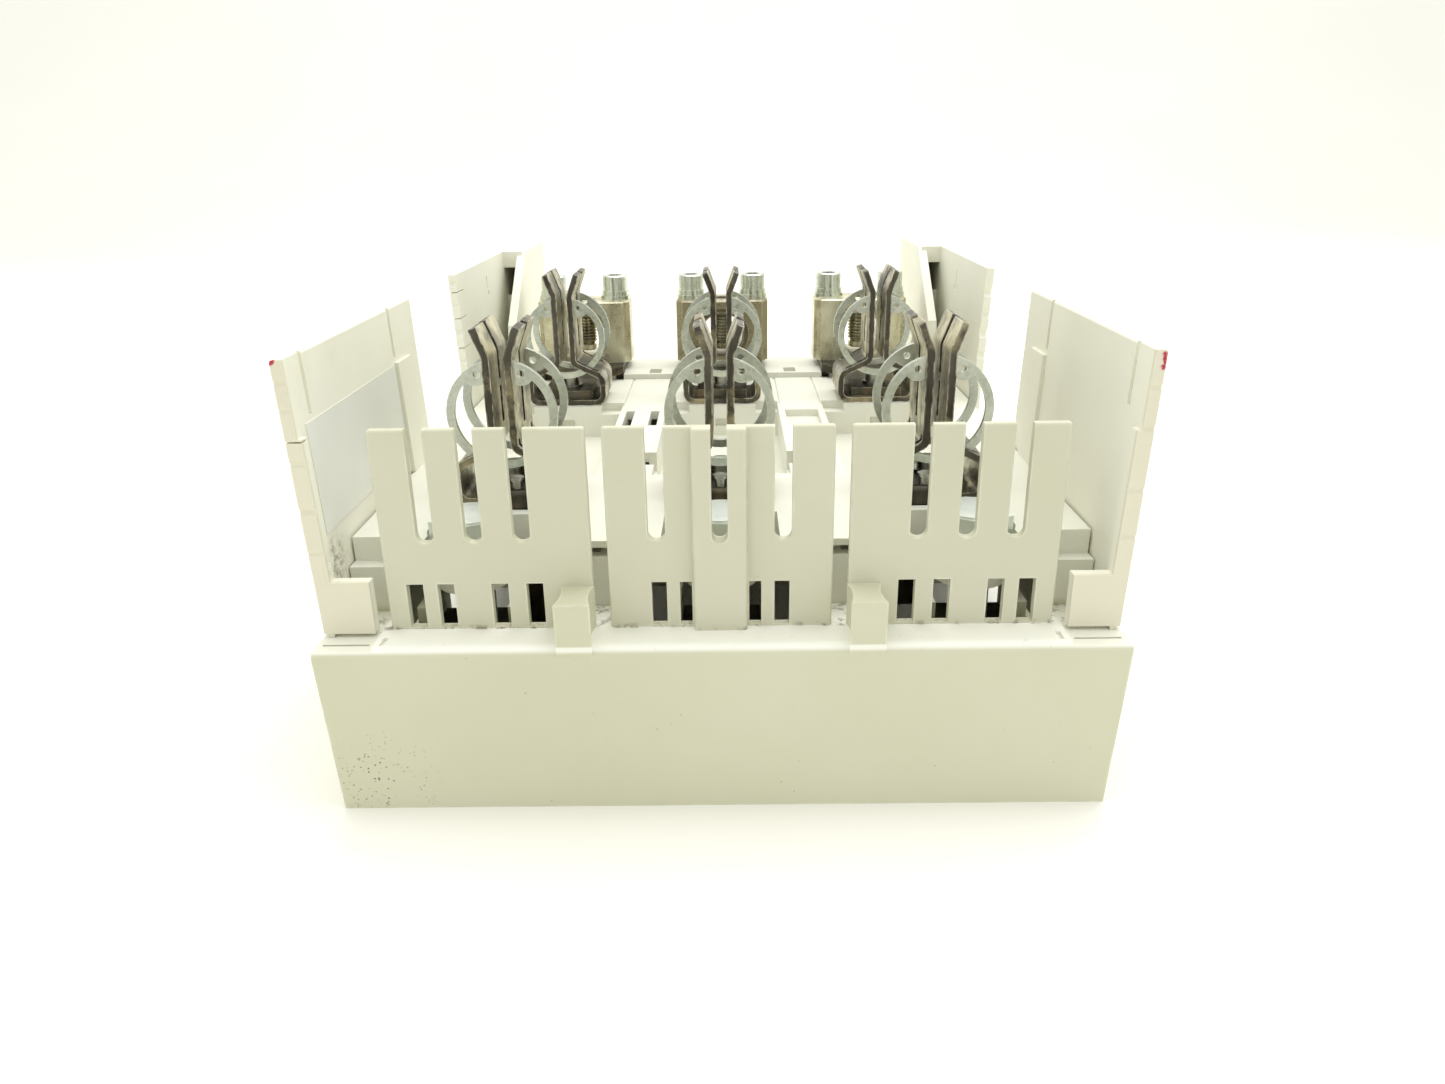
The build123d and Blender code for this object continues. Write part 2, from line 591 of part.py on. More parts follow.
def make_lug(x, side):
    with BuildPart() as lug:
        slab(x - LUG_W / 2, x + LUG_W / 2, Y_LUG - LUG_D / 2, Y_LUG + LUG_D / 2, LUG_Z0, LUG_Z1)
        vert = lug.edges().filter_by(Axis.Z)
        chamfer(vert, 4.2, 2.4)
        # cable bore with a wide countersink at both mouths
        with Locations((x, Y_LUG, BORE_Z)):
            Cylinder(BORE_R, LUG_D + 4, rotation=(90, 0, 0), mode=CUT)
        for s in (-1, 1):
            with BuildSketch(front_plane(Y_LUG + s * LUG_D / 2)):
                with Locations((x, BORE_Z)):
                    Circle(10.6)
            extrude(amount=s * 2.2, taper=36, mode=CUT)
        post(x, Y_LUG, BORE_Z, 95, SET_D / 2 + FIT, CUT)
        for s in (-1, 1):
            post(x + s * SCREW_X, Y_LUG, 60, 95, 3.1, CUT)
        # small gauge hole in the top
        post(x, Y_LUG - 8.0, LUG_Z1 - 2.0, 95, 0.7, CUT)
        top = lug.edges().group_by(Axis.Z)[-1].filter_by(GeomType.LINE)
        chamfer(top, 0.5)
    save(lug.part, "cable_lug_" + side)


def make_set_screw(x, side):
    z0 = 70.1
    length = 17.5
    r = SET_D / 2
    with BuildPart() as screw:
        with BuildSketch(Plane(origin=(x, Y_LUG, 0), x_dir=(1, 0, 0), z_dir=(0, -1, 0))):
            with BuildLine():
                pts = [(0, z0), (r - 1.2, z0)]
                z = z0 + 1.2
                while z < z0 + length - 1.6:
                    pts.append((r - 0.7, z))
                    pts.append((r, z + SET_PITCH * 0.42))
                    pts.append((r, z + SET_PITCH * 0.58))
                    z += SET_PITCH
                pts += [(r - 0.7, z), (r - 0.7, z0 + length), (0, z0 + length)]
                Polyline(*pts, close=True)
            make_face()
        revolve(axis=Axis((x, Y_LUG, 0), (0, 0, 1)))
        with BuildSketch(Plane.XY.offset(z0 + length)):
            with Locations((x, Y_LUG)):
                RegularPolygon(2.0, 6, major_radius=False)
        extrude(amount=-5.0, mode=CUT)
        # socket for the stem of the pressure pad
        post(x, Y_LUG, z0 - 1, z0 + 2.6, PAD_STEM_R + FIT, CUT)
    save(screw.part, "set_screw_" + side)


def make_pad(x, side):
    with BuildPart() as pad:
        post(x, Y_LUG, 67.9, 70.1, PAD_R)
        rim = pad.edges().group_by(Axis.Z)[0]
        chamfer(rim, 0.5)
        post(x, Y_LUG, 69.5, 72.5, PAD_STEM_R)
    save(pad.part, "pressure_pad_" + side)


def lug_screw_places():
    return [(x + s * SCREW_X, Y_LUG) for x, side in POLES for s in (-1, 1)]


def make_lug_screws():
    with BuildPart() as screws:
        for x, y in lug_screw_places():
            post(x, y, 48.0, 92.3, 3.0)
            with BuildSketch(Plane.XY.offset(91.9)):
                with Locations((x, y)):
                    Circle(5.0)
            extrude(amount=6.0)
        crown = screws.edges().filter_by(GeomType.CIRCLE).group_by(Axis.Z)[-1]
        chamfer(crown, 0.4)
        # knurled heads with a hexagon socket
        for x, y in lug_screw_places():
            with BuildSketch(Plane.XY.offset(92.6)):
                with Locations((x, y)):
                    with PolarLocations(5.08, 36):
                        Circle(0.16)
            extrude(amount=4.6, mode=CUT)
            with BuildSketch(Plane.XY.offset(97.9)):
                with Locations((x, y)):
                    RegularPolygon(2.5, 6, major_radius=False)
            extrude(amount=-3.2, mode=CUT)
    save(screws.part, "lug_screws")


def make_lug_washers():
    with BuildPart() as flat:
        for x, y in lug_screw_places():
            post(x, y, LUG_Z1, LUG_Z1 + 1.6, 6.0)
        for x, y in lug_screw_places():
            post(x, y, LUG_Z1 - 1, LUG_Z1 + 3, 3.2, CUT)
    save(flat.part, "lug_flat_washers")
    with BuildPart() as lock:
        for x, y in lug_screw_places():
            post(x, y, LUG_Z1 + 1.6, LUG_Z1 + 3.5, 5.5)
        for x, y in lug_screw_places():
            post(x, y, LUG_Z1, LUG_Z1 + 5, 3.3, CUT)
            with Locations(Location((x + 4.4, y, LUG_Z1 + 2.5), (35, 0, 0))):
                Box(3.0, 0.7, 6.0, mode=CUT)
    save(lock.part, "lug_lock_washers")


def make_bus_bolt(x, side, turn):
    with BuildPart() as bolt:
        post(x, BOLT_Y, 15.0, HEAD_Z0 + 0.2, BOLT_D / 2)
        tip = bolt.edges().group_by(Axis.Z)[0]
        chamfer(tip, 0.8)
        with BuildSketch(Plane.XY.offset(HEAD_Z0)):
            with Locations((x, BOLT_Y)):
                RegularPolygon(BOLT_AF / 2, 6, major_radius=False, rotation=turn)
        extrude(amount=BOLT_HEAD)
        # rounded crown of the hexagon
        with BuildSketch(Plane.XY.offset(HEAD_Z0 + BOLT_HEAD)):
            with Locations((x, BOLT_Y)):
                RegularPolygon(BOLT_AF / 2, 6, major_radius=False, rotation=turn)
                Circle(BOLT_AF / 2 - 0.4, mode=CUT)
        extrude(amount=-0.5, mode=CUT)
    save(bolt.part, "bus_bolt_" + side)


def make_bus_washers():
    with BuildPart() as washers:
        for x in BOLT_X:
            post(x, BOLT_Y, BOLT_SEAT, HEAD_Z0, WASHER_R)
        for x in BOLT_X:
            post(x, BOLT_Y, BOLT_SEAT - 1, HEAD_Z0 + 1, BOLT_D / 2 + 0.25, CUT)
    save(washers.part, "bus_bolt_washers")


def make_bus_hook(x, side):
    with BuildPart() as hook:
        slab(x - 10, x + 10, -120.6, -105.6, 23.0, 34.0)
        with BuildSketch(side_plane(x - 10)):
            with BuildLine():
                Polyline((-112.0, 24), (-105.6, 24), (-105.6, 6.2), (-99.0, 6.2), (-99.0, 4.6),
                         (-100.0, 3.0), (-112.0, 3.0), close=True)
            make_face()
        extrude(amount=20)
        slab(x - 5.6, x + 5.6, -119.0, -107.8, -1, 23.05, CUT)
        corner = hook.edges().filter_by(Axis.Z).group_by(Axis.Y)[0]
        fillet(corner, 1.5)
        post(x, BOLT_Y, 0, 40, BOLT_D / 2 + FIT, CUT)
    save(hook.part, "bus_hook_" + side)


make_base_frame()
make_front_cover()
make_rear_cover()
make_side_comb(-1, "finger_comb_left")
make_middle_comb()
make_side_comb(1, "finger_comb_right")
make_front_wall(-1, "front_wall_left")
make_front_wall(1, "front_wall_right")
make_rear_wall(-1, "rear_wall_left")
make_rear_wall(1, "rear_wall_right")
make_label()
for i, (x, side) in enumerate(POLES):
    make_clip(x, Y_LINE, "line_clip_" + side)
    make_clip(x, Y_LOAD, "load_clip_" + side)
    make_ring_pair(x, Y_LINE, "line_rings_" + side)
    make_ring_pair(x, Y_LOAD, "load_rings_" + side)
    make_line_strap(i, x, side)
    make_load_strap(x, side)
    make_lug(x, side)
    make_set_screw(x, side)
    make_pad(x, side)
    make_bus_bolt(BOLT_X[i], side, BOLT_TURN[i])
    make_bus_hook(BOLT_X[i], side)
make_clip_rivets(Y_LINE, "line_clip_rivets", STRAP_T, front_pin=True)
make_clip_rivets(Y_LOAD, "load_clip_rivets", STRAP_T)
make_lug_screws()
make_lug_washers()
make_bus_washers()
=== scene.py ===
import math

import bpy
from mathutils import Matrix, Vector


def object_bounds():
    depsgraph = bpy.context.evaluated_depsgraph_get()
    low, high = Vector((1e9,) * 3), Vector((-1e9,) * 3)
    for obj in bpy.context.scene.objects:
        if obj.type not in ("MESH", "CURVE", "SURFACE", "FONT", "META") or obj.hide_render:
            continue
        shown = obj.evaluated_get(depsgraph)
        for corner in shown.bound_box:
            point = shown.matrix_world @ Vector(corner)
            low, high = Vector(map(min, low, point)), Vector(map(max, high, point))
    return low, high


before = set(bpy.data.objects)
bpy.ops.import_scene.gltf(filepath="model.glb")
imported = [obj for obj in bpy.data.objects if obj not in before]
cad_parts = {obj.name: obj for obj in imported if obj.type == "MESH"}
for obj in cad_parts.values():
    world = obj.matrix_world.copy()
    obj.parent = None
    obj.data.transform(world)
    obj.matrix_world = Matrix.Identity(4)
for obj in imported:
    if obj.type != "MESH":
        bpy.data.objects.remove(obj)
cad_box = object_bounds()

# Looks for a bus-mounting fuse base. Metres, in the frame of the CAD model:
# +X right, +Y from the line end to the cable end, +Z up, floor at Z = 0.

# camera
EYE = Vector((0.0023, -0.3557, 0.1477))
PITCH_DOWN = math.radians(20.99)
YAW = math.radians(0.447)
ROLL = math.radians(-0.782)
LENS = 25.94                      # mm on a 36 mm sensor
SENSOR = 36.0

# light, tuned together with the base colours
WORLD_STRENGTH = 0.97
AIM = (0.0, 0.0, 0.05)
TOP_LIGHT_PLACE = (0.15, 0.35, 1.1)
TOP_LIGHT_POWER = 9.5
SIDE_LIGHTS = (("right_light", (0.9, -0.2, 0.8), 1.5), ("left_light", (-0.9, -0.2, 0.8), 1.9))
BACKDROP_LIGHT_PLACE = (0.0, 0.9, 2.4)
BACKDROP_LIGHT_AIM = (0.0, 2.9, 1.2)
BACKDROP_LIGHT_POWER = 18.0

# backdrop: a floor that sweeps up into a wall, in metres
SWEEP_HALF_WIDTH = 7.0
SWEEP_FRONT = -7.0
SWEEP_BEND_Y = 1.3
SWEEP_RADIUS = 1.6
SWEEP_TOP = 5.0
SWEEP_STEPS = 24

MM = 0.001

# places on the object where a material changes
SKIRT_Y = -0.146                  # front face of the skirt
LEDGE_BAND = (0.0405, 0.0413, 0.0421, 0.0424)    # heights: fades in, then out
LEDGE_BACK = (-0.1358, -0.1353)
SKIRT_TOP = (0.0415, 0.0430)
COMB_FOOT = (0.0422, 0.0432)
WALL_FRONT_Y = -0.1373
SPECKLED_CORNER = (-0.081, SKIRT_Y, 0.007)
SMEARED_CORNER = (-0.0895, -0.1290, 0.0565)
RED_DAB = (-0.0945, WALL_FRONT_Y, 0.1060)
RED_STREAK = (0.0940, WALL_FRONT_Y, 0.1050)
RED_STREAK_STEP = 0.0009
RED_STREAK_DOTS = 4


class Graph:
    """A material and short calls that add nodes to it. Coordinates are the part's own."""

    def __init__(self, name, roughness=0.5, metallic=0.0):
        self.material = bpy.data.materials.new(name)
        self.material.use_nodes = True
        self.tree = self.material.node_tree
        self.shader = self.tree.nodes["Principled BSDF"]
        self.shader.inputs["Roughness"].default_value = roughness
        self.shader.inputs["Metallic"].default_value = metallic
        self.place = self.add("ShaderNodeTexCoord").outputs["Object"]

    def add(self, kind, **settings):
        node = self.tree.nodes.new(kind)
        for key, value in settings.items():
            setattr(node, key, value)
        return node

    def feed(self, socket, value):
        if isinstance(value, bpy.types.NodeSocket):
            self.tree.links.new(value, socket)
        elif isinstance(value, tuple) and len(value) == 3 and socket.type == "RGBA":
            socket.default_value = (*value, 1.0)
        else:
            socket.default_value = value

    def set(self, name, value):
        self.feed(self.shader.inputs[name], value)

    def stretched(self, factors):
        node = self.add("ShaderNodeMapping")
        self.feed(node.inputs["Vector"], self.place)
        node.inputs["Scale"].default_value = factors
        return node.outputs["Vector"]

    def noise(self, scale, detail=3.0, roughness=0.55, vector=None):
        node = self.add("ShaderNodeTexNoise")
        self.feed(node.inputs["Vector"], vector or self.place)
        node.inputs["Scale"].default_value = scale
        node.inputs["Detail"].default_value = detail
        node.inputs["Roughness"].default_value = roughness
        return node.outputs["Fac"]

    def spots(self, scale, low, high):
        # small round specks, 1 inside a speck
        node = self.add("ShaderNodeTexVoronoi")
        self.feed(node.inputs["Vector"], self.place)
        node.inputs["Scale"].default_value = scale
        return self.remap(node.outputs["Distance"], low, high, 1.0, 0.0)

    def remap(self, value, low, high, start=0.0, end=1.0):
        node = self.add("ShaderNodeMapRange", clamp=True)
        self.feed(node.inputs["Value"], value)
        node.inputs["From Min"].default_value = low
        node.inputs["From Max"].default_value = high
        node.inputs["To Min"].default_value = start
        node.inputs["To Max"].default_value = end
        return node.outputs["Result"]

    def math(self, operation, a, b=0.0):
        node = self.add("ShaderNodeMath", operation=operation)
        self.feed(node.inputs[0], a)
        self.feed(node.inputs[1], b)
        return node.outputs[0]

    def both(self, a, b):
        return self.math("MULTIPLY", a, b)

    def mix(self, factor, a, b):
        node = self.add("ShaderNodeMix", data_type="RGBA")
        self.feed(node.inputs[0], factor)
        self.feed(node.inputs[6], a)
        self.feed(node.inputs[7], b)
        return node.outputs[2]

    def axis(self, letter):
        node = self.add("ShaderNodeSeparateXYZ")
        self.feed(node.inputs[0], self.place)
        return node.outputs[letter]

    def facing(self, letter):
        # how far the surface faces along an axis, -1 to 1
        geometry = self.add("ShaderNodeNewGeometry")
        node = self.add("ShaderNodeSeparateXYZ")
        self.feed(node.inputs[0], geometry.outputs["Normal"])
        return node.outputs[letter]

    def near(self, point, radius, soft):
        # 1 close to a point of the part, 0 further off
        node = self.add("ShaderNodeVectorMath", operation="DISTANCE")
        self.feed(node.inputs[0], self.place)
        node.inputs[1].default_value = point
        return self.remap(node.outputs["Value"], radius, radius + soft, 1.0, 0.0)

    def edges(self, radius, low=0.004, high=0.09):
        # 1 along sharp edges, from how far a rounded normal turns away
        round_normal = self.add("ShaderNodeBevel", samples=4)
        round_normal.inputs["Radius"].default_value = radius
        geometry = self.add("ShaderNodeNewGeometry")
        node = self.add("ShaderNodeVectorMath", operation="DOT_PRODUCT")
        self.feed(node.inputs[0], round_normal.outputs[0])
        self.feed(node.inputs[1], geometry.outputs["Normal"])
        return self.remap(self.math("SUBTRACT", 1.0, node.outputs["Value"]), low, high)

    def bump(self, height, strength, distance):
        node = self.add("ShaderNodeBump")
        self.feed(node.inputs["Height"], height)
        node.inputs["Strength"].default_value = strength
        node.inputs["Distance"].default_value = distance
        self.set("Normal", node.outputs["Normal"])


# Base colours, none of them measured. Skirt, comb, deck, ledge and walls were tuned one by one until
# each came out about as bright as in the photograph, under the lights above. The real plastic may
# well be one colour throughout. Stains and wear are given one by one.
# The paler deck, ledge and wall colours are painted light and the darker skirt and comb colours
# painted shade: lit and shaded copies of one plastic.
PLASTIC = (0.590, 0.588, 0.425)
PLASTIC_PALE = (0.625, 0.622, 0.470)
COMB = (0.575, 0.570, 0.430)
COMB_PALE = (0.610, 0.605, 0.470)
DECK_LIT = (0.745, 0.745, 0.640)
DECK_LIT_PALE = (0.785, 0.785, 0.695)
LEDGE_LIT = (0.90, 0.90, 0.82)
WALL_LIT = (0.800, 0.795, 0.665)
WALL_LIT_PALE = (0.840, 0.835, 0.720)
REAR_WALL_LIT = (0.865, 0.860, 0.735)
PLASTIC_AGED = (0.61, 0.57, 0.41)
PLASTIC_EDGE_HIGHLIGHT = (0.86, 0.86, 0.74)
DARK_BROWN = (0.20, 0.16, 0.10)
SPECK = (0.11, 0.095, 0.07)
RED_PAINT = (0.45, 0.02, 0.06)


def plastic_base(name, base, pale):
    """Moulded plastic: cloudy tone, fine grain, a painted highlight along the edges, scuffs, specks
    of dirt.
    """
    g = Graph(name, metallic=0.0)
    cloud = g.remap(g.noise(16.0, 4.0), 0.35, 0.7)
    colour = g.mix(cloud, base, pale)
    aged = g.both(g.remap(g.noise(45.0, 5.0), 0.56, 0.72), 0.16)
    colour = g.mix(aged, colour, PLASTIC_AGED)
    # painted highlight: the edges are drawn paler, in patches
    edge_highlight = g.both(g.edges(0.8 * MM), g.remap(g.noise(180.0, 4.0), 0.42, 0.62))
    colour = g.mix(g.both(edge_highlight, 0.5), colour, PLASTIC_EDGE_HIGHLIGHT)
    scuffs = g.noise(70.0, 6.0, 0.75, g.stretched((1.0, 1.0, 6.0)))
    colour = g.mix(g.both(g.remap(scuffs, 0.64, 0.74), 0.22), colour, PLASTIC_AGED)
    specks = g.both(g.spots(900.0, 0.04, 0.09), g.remap(g.noise(60.0, 3.0), 0.60, 0.66))
    colour = g.mix(g.both(specks, 0.6), colour, DARK_BROWN)
    grain = g.noise(1900.0, 3.0)
    g.set("Roughness", g.remap(g.noise(60.0, 4.0), 0.3, 0.7, 0.42, 0.62))
    g.set("Specular IOR Level", 0.42)
    g.bump(grain, 0.12, 0.05 * MM)
    return g, colour


def housing_plastic():
    g, colour = plastic_base("housing_plastic", DECK_LIT, DECK_LIT_PALE)
    # skirts painted darker than the deck, in the colour of the end covers: painted shade
    skirt = g.remap(g.axis("Z"), *SKIRT_TOP, 1.0, 0.0)
    colour = g.mix(skirt, colour, PLASTIC)
    # darker tan patches low down, fading out by 3 cm up
    low = g.remap(g.axis("Z"), 0.0, 0.03, 1.0, 0.0)
    rub = g.both(low, g.remap(g.noise(85.0, 6.0, 0.7), 0.56, 0.66))
    colour = g.mix(g.both(rub, 0.35), colour, PLASTIC_AGED)
    g.set("Base Color", colour)
    return g.material


def cover_plastic():
    g, colour = plastic_base("cover_plastic", PLASTIC, PLASTIC_PALE)
    # the ledge is painted paler than the skirt: painted light on its upper face
    above = g.remap(g.axis("Z"), *LEDGE_BAND[:2])
    top = g.both(above, g.remap(g.axis("Z"), *LEDGE_BAND[2:], 1.0, 0.0))
    colour = g.mix(g.both(top, 0.9), colour, LEDGE_LIT)
    # thin broken brown line where the combs stand on the ledge
    behind = g.remap(g.axis("Y"), *LEDGE_BACK)
    line = g.both(g.both(behind, top), g.remap(g.noise(330.0, 5.0, 0.7), 0.52, 0.60))
    colour = g.mix(g.both(line, 0.7), colour, DARK_BROWN)
    # fine dark specks at the left foot of the skirt, thinning out away from the corner
    corner = g.near(SPECKLED_CORNER, 0.003, 0.013)
    dots = g.both(g.spots(1100.0, 0.20, 0.34), g.remap(g.noise(360.0, 4.0), 0.48, 0.55))
    colour = g.mix(g.both(g.both(corner, dots), 0.95), colour, SPECK)
    # a few single specks anywhere on the cover
    single = g.both(g.spots(360.0, 0.04, 0.09), g.remap(g.noise(95.0, 3.0), 0.56, 0.60))
    colour = g.mix(g.both(single, 0.5), colour, SPECK)
    # hairline scratches down the skirt
    lines = g.noise(420.0, 2.0, 0.5, g.stretched((1.0, 1.0, 0.02)))
    colour = g.mix(g.both(g.remap(lines, 0.70, 0.74), 0.25), colour, PLASTIC_AGED)
    g.set("Base Color", colour)
    return g.material


def comb_plastic():
    g, colour = plastic_base("comb_plastic", COMB, COMB_PALE)
    # broken dark brown band at the foot
    foot = g.remap(g.axis("Z"), *COMB_FOOT, 1.0, 0.0)
    foot_band = g.both(foot, g.remap(g.noise(330.0, 5.0, 0.7), 0.52, 0.60))
    colour = g.mix(g.both(foot_band, 0.6), colour, DARK_BROWN)
    g.set("Base Color", colour)
    return g.material


def wall_plastic():
    g, colour = plastic_base("wall_plastic", WALL_LIT, WALL_LIT_PALE)
    # the rear walls are painted paler: painted light
    colour = g.mix(g.both(g.remap(g.axis("Y"), 0.02, 0.05), 0.8), colour, REAR_WALL_LIT)
    # outer faces painted darker, in the colour of the skirts: painted shade
    outer = g.remap(g.math("MULTIPLY", g.facing("X"), g.axis("X")), 0.03, 0.06)
    colour = g.mix(outer, colour, PLASTIC)
    # the broken front edges are tan
    edge = g.remap(g.axis("Y"), -0.1368, -0.1360, 1.0, 0.0)
    colour = g.mix(g.both(edge, 0.55), colour, PLASTIC_AGED)
    # red paint: a dab on the left front corner, a short streak down the right one
    x, y, z = RED_STREAK
    marks = [(RED_DAB, 0.9 * MM)]
    marks += [((x, y, z - RED_STREAK_STEP * i), 0.4 * MM) for i in range(RED_STREAK_DOTS)]
    broken = g.remap(g.noise(900.0, 3.0), 0.38, 0.5)
    for place, radius in marks:
        colour = g.mix(g.both(g.near(place, radius, 0.4 * MM), broken), colour, RED_PAINT)
    # smear and grime in the corner at the foot of the wall
    corner = g.near(SMEARED_CORNER, 0.002, 0.007)
    smear = g.both(corner, g.remap(g.noise(420.0, 5.0, 0.75), 0.45, 0.62))
    colour = g.mix(g.both(smear, 0.8), colour, DARK_BROWN)
    g.set("Base Color", colour)
    return g.material


def label_film():
    g = Graph("label_film")
    tone = g.remap(g.noise(30.0, 3.0), 0.3, 0.7)
    colour = g.mix(tone, (0.73, 0.745, 0.675), (0.78, 0.79, 0.73))
    colour = g.mix(g.both(g.edges(0.4 * MM), 0.5), colour, PLASTIC_AGED)
    g.set("Base Color", colour)
    g.set("Roughness", g.remap(g.noise(90.0, 4.0), 0.3, 0.7, 0.30, 0.48))
    g.bump(g.noise(240.0, 2.0), 0.10, 0.08 * MM)
    return g.material


def tarnished(name, dark, mid, gold, bright, rough=(0.30, 0.55), patch=55.0,
              edge=0.5 * MM, adjust=None, metallic=1.0):
    """Tarnished metal: dark and golden patches, streaks, bright edges."""
    g = Graph(name, metallic=metallic)
    streaks = g.noise(60.0, 5.0, 0.65, g.stretched((3.0, 3.0, 0.7)))
    colour = g.mix(g.remap(streaks, 0.36, 0.66), dark, mid)
    patches = g.remap(g.noise(patch, 5.0, 0.6), 0.54, 0.66)
    colour = g.mix(patches, colour, gold)
    if adjust:
        colour = adjust(g, colour)
    pits = g.both(g.spots(900.0, 0.10, 0.20), g.remap(g.noise(70.0, 2.0), 0.5, 0.62))
    colour = g.mix(g.both(pits, 0.5), colour, dark)
    cut = g.both(g.edges(edge), g.remap(g.noise(320.0, 4.0), 0.40, 0.58))
    colour = g.mix(g.both(cut, 0.8), colour, bright)
    g.set("Base Color", colour)
    g.set("Roughness", g.remap(g.noise(130.0, 5.0), 0.3, 0.7, *rough))
    g.bump(g.noise(520.0, 4.0), 0.20, 0.12 * MM)
    return g.material


def painted_side_light(g, colour):
    # faces along X are painted paler than the edges, painted light where the jaw sides catch the
    # light; a guess, fitted to one spot on each
    face = g.remap(g.math("ABSOLUTE", g.facing("X")), 0.5, 0.85)
    kept = g.both(face, g.remap(g.noise(95.0, 5.0, 0.65), 0.36, 0.62))
    return g.mix(g.both(kept, 0.9), colour, (0.86, 0.81, 0.60))


def plated_clip():
    return tarnished("plated_clip",
                     dark=(0.050, 0.044, 0.034), mid=(0.120, 0.110, 0.086),
                     gold=(0.34, 0.295, 0.185), bright=(0.95, 0.90, 0.76),
                     rough=(0.26, 0.50), patch=70.0, edge=0.6 * MM,
                     adjust=painted_side_light, metallic=0.8)


def plated_strap():
    return tarnished("plated_strap",
                     dark=(0.050, 0.046, 0.036), mid=(0.115, 0.107, 0.084),
                     gold=(0.17, 0.13, 0.08), bright=(0.55, 0.50, 0.39))


def middle_darker(g, colour):
    # the middle lug is drawn darker than the other two; why it looks darker is not known
    middle = g.remap(g.math("ABSOLUTE", g.axis("X")), 0.020, 0.030, 1.0, 0.0)
    return g.mix(g.both(middle, 0.8), colour, (0.25, 0.215, 0.125))


def lug_metal():
    return tarnished("lug_metal",
                     dark=(0.42, 0.38, 0.24), mid=(0.74, 0.71, 0.50),
                     gold=(0.86, 0.83, 0.62), bright=(0.96, 0.94, 0.82),
                     rough=(0.20, 0.40), patch=34.0,
                     adjust=middle_darker, metallic=0.65)


def zinc(name, dark, light, rough, grain_axis, metallic=1.0):
    """Steel: cloudy sheen, fine drawn lines, rubbed edges."""
    g = Graph(name, metallic=metallic)
    lines = g.noise(900.0, 3.0, 0.5, g.stretched(grain_axis))
    cloud = g.remap(g.noise(75.0, 4.0), 0.35, 0.7)
    colour = g.mix(cloud, dark, light)
    colour = g.mix(g.both(g.remap(lines, 0.4, 0.7), 0.25), colour, (0.92, 0.94, 0.90))
    rub = g.both(g.edges(0.35 * MM), g.remap(g.noise(500.0, 3.0), 0.4, 0.6))
    colour = g.mix(g.both(rub, 0.7), colour, (0.92, 0.93, 0.88))
    g.set("Base Color", colour)
    g.set("Roughness", g.remap(lines, 0.3, 0.7, *rough))
    g.bump(lines, 0.10, 0.05 * MM)
    return g.material


def spring_steel():
    return zinc("spring_steel", dark=(0.44, 0.47, 0.41), light=(0.65, 0.68, 0.61),
                rough=(0.26, 0.40), grain_axis=(1.0, 0.15, 1.0))


def zinc_steel():
    return zinc("zinc_steel", dark=(0.60, 0.65, 0.57), light=(0.82, 0.86, 0.78),
                rough=(0.18, 0.32), grain_axis=(1.0, 1.0, 0.12))


def bolt_zinc():
    # chalkier zinc than on the lug screws
    return zinc("bolt_zinc", dark=(0.66, 0.72, 0.66), light=(0.80, 0.84, 0.79),
                rough=(0.30, 0.48), grain_axis=(1.0, 1.0, 0.3), metallic=0.5)


def pin_steel():
    return zinc("pin_steel", dark=(0.28, 0.275, 0.24), light=(0.46, 0.46, 0.41),
                rough=(0.25, 0.42), grain_axis=(1.0, 1.0, 0.15))


def set_screw_steel():
    return tarnished("set_screw_steel",
                     dark=(0.24, 0.22, 0.16), mid=(0.52, 0.50, 0.39),
                     gold=(0.64, 0.58, 0.40), bright=(0.92, 0.88, 0.74),
                     rough=(0.22, 0.38), patch=80.0, edge=0.25 * MM)


def floor_paint():
    g = Graph("floor_paint")
    cloud = g.remap(g.noise(2.2, 4.0), 0.3, 0.7)
    g.set("Base Color", g.mix(cloud, (0.880, 0.873, 0.800), (0.905, 0.898, 0.840)))
    g.set("Roughness", g.remap(g.noise(7.0, 3.0), 0.3, 0.7, 0.5, 0.65))
    return g.material


def dress_nodes():
    # the hooks are guessed, colour too: dark, a painted shade, because the comb windows look dark
    makers = {
        "base_frame": housing_plastic, "rear_end_cover": housing_plastic,
        "front_end_cover": cover_plastic, "finger_comb": comb_plastic,
        "front_wall": wall_plastic, "rear_wall": wall_plastic, "rating_label": label_film,
        "line_clip_rivets": pin_steel, "load_clip_rivets": pin_steel,
        "line_clip": plated_clip, "load_clip": plated_clip,
        "line_rings": spring_steel, "load_rings": spring_steel,
        "line_strap": plated_strap, "load_strap": plated_strap,
        "cable_lug": lug_metal, "pressure_pad": lug_metal, "set_screw": set_screw_steel,
        "lug_": zinc_steel, "bus_bolt_": bolt_zinc, "bus_hook_": plated_strap,
    }
    made = {}
    for node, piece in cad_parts.items():
        prefix = max((p for p in makers if node.startswith(p)), key=len)
        maker = makers[prefix]
        if maker not in made:
            made[maker] = maker()
        for place in piece.material_slots:
            place.material = made[maker]


def sweep_profile():
    # side view of the backdrop: flat floor, quarter circle, wall
    floor_z = cad_box[0][2]
    points = [(SWEEP_FRONT, floor_z)]
    for i in range(SWEEP_STEPS + 1):
        turn = math.pi / 2 * i / SWEEP_STEPS
        points.append((SWEEP_BEND_Y + SWEEP_RADIUS * math.sin(turn),
                       floor_z + SWEEP_RADIUS * (1.0 - math.cos(turn))))
    points.append((SWEEP_BEND_Y + SWEEP_RADIUS, SWEEP_TOP))
    return points


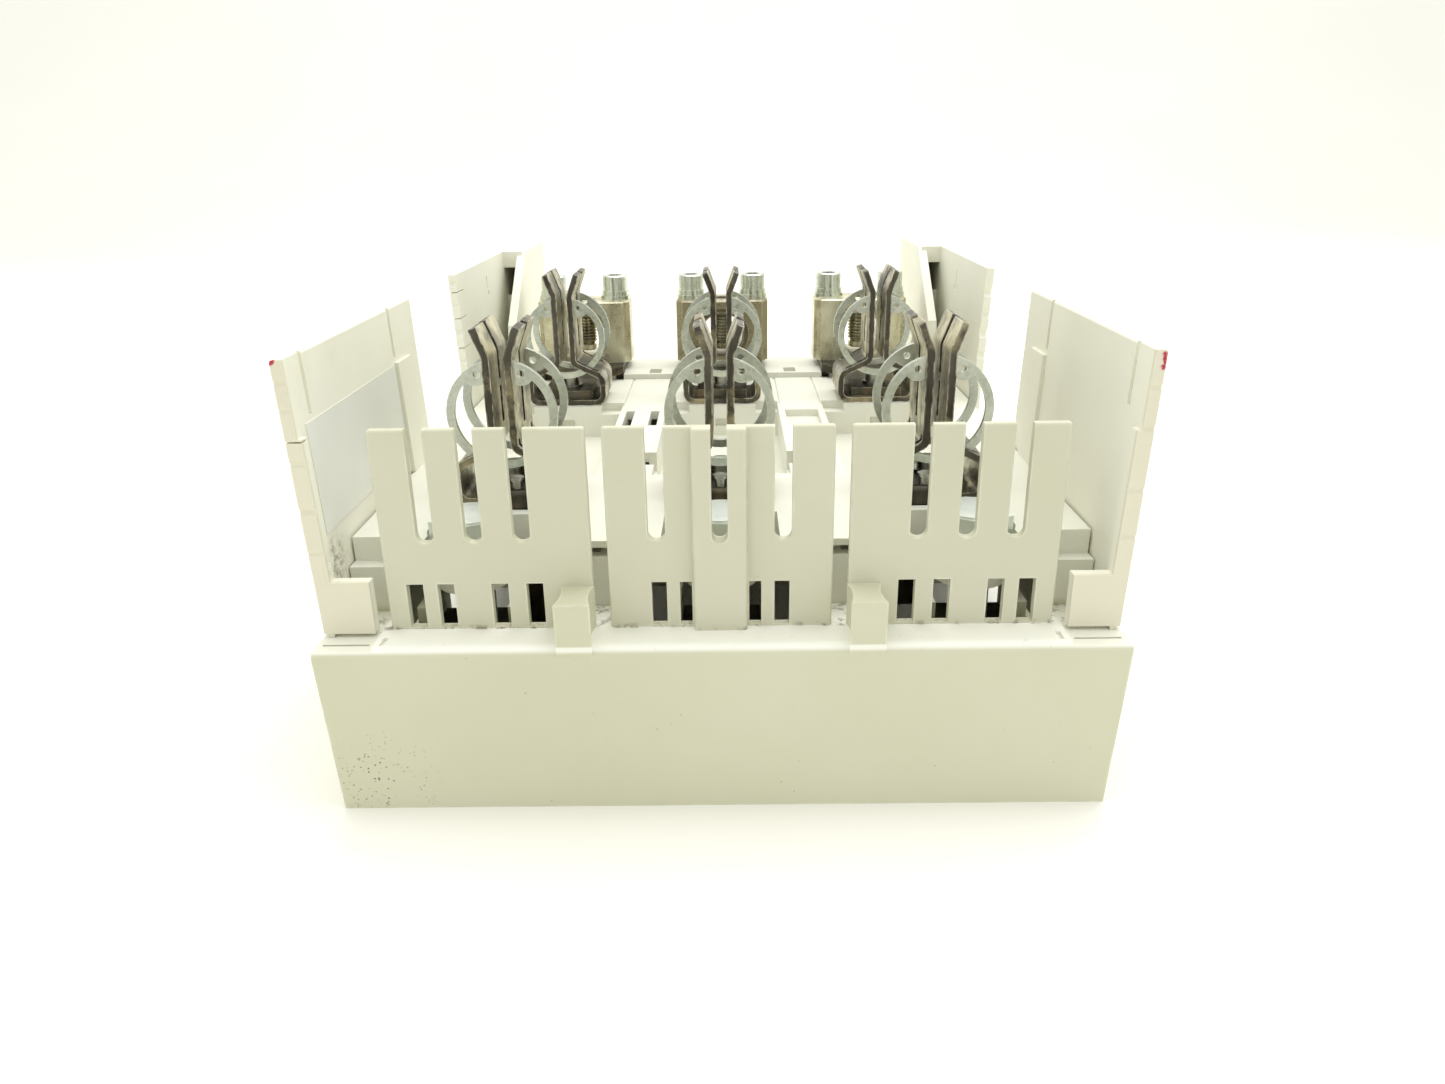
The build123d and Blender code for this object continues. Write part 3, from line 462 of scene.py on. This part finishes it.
def make_floor():
    rows = sweep_profile()
    corners = [(x, y, z) for y, z in rows for x in (-SWEEP_HALF_WIDTH, SWEEP_HALF_WIDTH)]
    faces = [(2 * i, 2 * i + 1, 2 * i + 3, 2 * i + 2) for i in range(len(rows) - 1)]
    mesh = bpy.data.meshes.new("floor")
    mesh.from_pydata(corners, [], faces)
    for polygon in mesh.polygons:
        polygon.use_smooth = True
    floor = bpy.data.objects.new("floor", mesh)
    bpy.context.collection.objects.link(floor)
    floor.data.materials.append(floor_paint())


def area_light(name, place, aim, size, power, colour):
    data = bpy.data.lights.new(name, "AREA")
    data.shape = "SQUARE"
    data.size = size
    data.energy = power
    data.color = colour
    lamp = bpy.data.objects.new(name, data)
    lamp.location = place
    lamp.rotation_euler = (Vector(aim) - Vector(place)).to_track_quat("-Z", "Y").to_euler()
    bpy.context.collection.objects.link(lamp)


def make_lights():
    world = bpy.data.worlds.new("studio")
    bpy.context.scene.world = world
    world.use_nodes = True
    sky = world.node_tree.nodes["Background"]
    sky.inputs["Color"].default_value = (1.0, 1.0, 0.99, 1.0)
    sky.inputs["Strength"].default_value = WORLD_STRENGTH
    area_light("top_light", TOP_LIGHT_PLACE, AIM, 1.2, TOP_LIGHT_POWER, (1.0, 1.0, 0.97))
    area_light("backdrop_light", BACKDROP_LIGHT_PLACE, BACKDROP_LIGHT_AIM, 1.6,
               BACKDROP_LIGHT_POWER, (1.0, 1.0, 0.99))
    for name, place, power in SIDE_LIGHTS:
        area_light(name, place, AIM, 0.9, power, (1.0, 1.0, 0.98))


def make_camera():
    data = bpy.data.cameras.new("camera")
    data.sensor_width = SENSOR
    data.lens = LENS
    data.clip_start = 0.01
    camera = bpy.data.objects.new("camera", data)
    turn = Matrix.Rotation(YAW, 4, "Z") @ Matrix.Rotation(math.pi / 2 - PITCH_DOWN, 4, "X")
    camera.matrix_world = Matrix.Translation(EYE) @ turn @ Matrix.Rotation(ROLL, 4, "Z")
    bpy.context.collection.objects.link(camera)
    bpy.context.scene.camera = camera


make_camera()
make_lights()
make_floor()
dress_nodes()
bpy.context.scene.view_settings.view_transform = "Standard"
